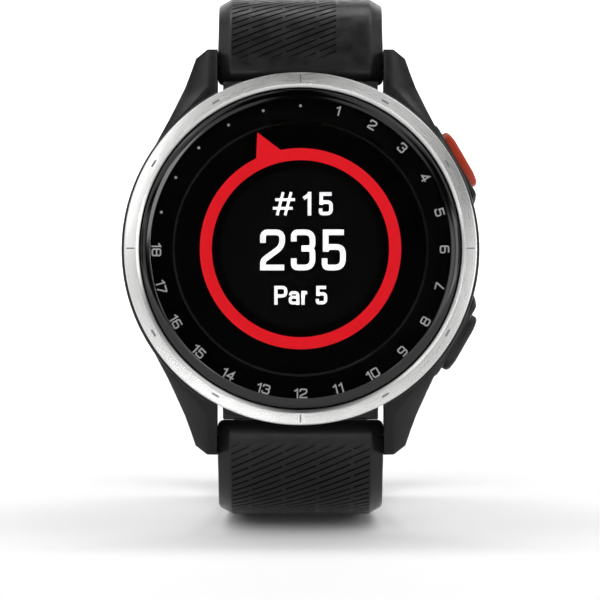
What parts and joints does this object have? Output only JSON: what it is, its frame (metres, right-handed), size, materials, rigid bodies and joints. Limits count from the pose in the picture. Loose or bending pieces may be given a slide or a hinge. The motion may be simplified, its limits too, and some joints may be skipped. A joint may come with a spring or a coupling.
{
  "type": "golf GPS watch",
  "caption": "Round golf GPS watch with side push buttons on a grooved two-piece quick-release band, opened at its pin buckle.",
  "frame": {"origin": "centre of the flat case back, where the watch rests on the wrist", "axes": "+X to the 3 o'clock side, +Y from the dial towards the wrist, +Z to 12 o'clock"},
  "size_m": [0.0436, 0.0828, 0.0638],
  "materials": {
    "case_polymer": "fine moulded matt black polymer",
    "bezel_steel": "circular brushed stainless steel with chamfered edges",
    "cover_glass": "clear hardened glass over a black dial",
    "gasket_rubber": "black sealing rubber",
    "number_ring": "black printed ring with pale numerals",
    "display": "black reflective display with pale figures and a red ring",
    "flex_polyimide": "amber polyimide ribbon",
    "frame_polymer": "dark grey moulded polymer",
    "antenna_copper": "copper strip",
    "board_laminate": "green solder mask",
    "spring_steel": "bright stainless steel",
    "shield_tin": "tinned sheet steel",
    "battery_pouch": "silver foil pouch",
    "motor_steel": "drawn steel can",
    "contact_gold": "gold plated contact",
    "switch_body": "black moulded switch",
    "button_orange": "satin orange-red anodised look",
    "band_silicone": "soft matt black silicone, grooved on its outer face",
    "buckle_steel": "black coated brushed steel"
  },
  "bodies": {
    "case": {"mid_case": "case_polymer", "bezel_ring": "bezel_steel", "cover_glass": "cover_glass", "glass_gasket": "gasket_rubber", "number_ring": "number_ring", "display_module": "display", "display_flex": "flex_polyimide", "inner_frame": "frame_polymer", "gps_antenna": "antenna_copper", "main_board": "board_laminate", "board_screw_1": "spring_steel", "board_screw_2": "spring_steel", "shield_can": "shield_tin", "battery": "battery_pouch", "vibration_motor": "motor_steel", "rear_cover": "case_polymer", "rear_gasket": "gasket_rubber", "rear_screw_1": "spring_steel", "rear_screw_2": "spring_steel", "rear_screw_3": "spring_steel", "rear_screw_4": "spring_steel", "charge_port": "case_polymer", "charge_contact_1": "contact_gold", "charge_contact_2": "contact_gold", "charge_contact_3": "contact_gold", "charge_contact_4": "contact_gold", "upper_button_seal": "gasket_rubber", "lower_button_seal": "gasket_rubber", "upper_button_spring": "spring_steel", "lower_button_spring": "spring_steel", "upper_button_switch": "switch_body", "lower_button_switch": "switch_body"},
    "upper_button": {"upper_button": "button_orange", "upper_button_clip": "spring_steel"},
    "lower_button": {"lower_button": "case_polymer", "lower_button_clip": "spring_steel"},
    "upper_band": {"upper_band": "band_silicone", "upper_spring_bar": "spring_steel", "fixed_keeper": "band_silicone"},
    "lower_band": {"lower_band": "band_silicone", "lower_spring_bar": "spring_steel"},
    "upper_release": {"upper_bar_tip": "spring_steel", "upper_release_lever": "spring_steel"},
    "lower_release": {"lower_bar_tip": "spring_steel", "lower_release_lever": "spring_steel"},
    "sliding_keeper": {"sliding_keeper": "band_silicone"},
    "buckle": {"buckle_frame": "buckle_steel", "buckle_bar": "spring_steel"},
    "tongue": {"buckle_tongue": "buckle_steel"}
  },
  "joints": [
    {"name": "upper_button_press", "type": "slide", "parent": "case", "child": "upper_button", "axis": [-0.866, 0, -0.5], "range_m": [0, 0.0005], "stiffness_N_per_m": 4000, "springref_m": -0.0003, "deforming": ["upper_button_spring"]},
    {"name": "lower_button_press", "type": "slide", "parent": "case", "child": "lower_button", "axis": [-0.866, 0, 0.5], "range_m": [0, 0.0005], "stiffness_N_per_m": 4000, "springref_m": -0.0003, "deforming": ["lower_button_spring"]},
    {"name": "upper_band_hinge", "type": "hinge", "parent": "case", "child": "upper_band", "pos_m": [0, -0.0034, 0.0224], "axis": [1, 0, 0], "range_deg": [-2, 35]},
    {"name": "lower_band_hinge", "type": "hinge", "parent": "case", "child": "lower_band", "pos_m": [0, -0.0034, -0.0224], "axis": [-1, 0, 0], "range_deg": [-2, 35]},
    {"name": "upper_release_slide", "type": "slide", "parent": "upper_band", "child": "upper_release", "axis": [-1, 0, 0], "range_m": [0, 0.0012], "stiffness_N_per_m": 500, "springref_m": -0.0005},
    {"name": "lower_release_slide", "type": "slide", "parent": "lower_band", "child": "lower_release", "axis": [-1, 0, 0], "range_m": [0, 0.0012], "stiffness_N_per_m": 500, "springref_m": -0.0005},
    {"name": "sliding_keeper_slide", "type": "slide", "parent": "upper_band", "child": "sliding_keeper", "axis": [0, -0.1736, 0.9848], "range_m": [-0.0012, 0.0045]},
    {"name": "buckle_hinge", "type": "hinge", "parent": "upper_band", "child": "buckle", "pos_m": [0, 0.04253, -0.00707], "axis": [1, 0, 0], "range_deg": [-35, 20]},
    {"name": "tongue_hinge", "type": "hinge", "parent": "buckle", "child": "tongue", "pos_m": [0, 0.04253, -0.00707], "axis": [1, 0, 0], "range_deg": [0, 72]}
  ]
}
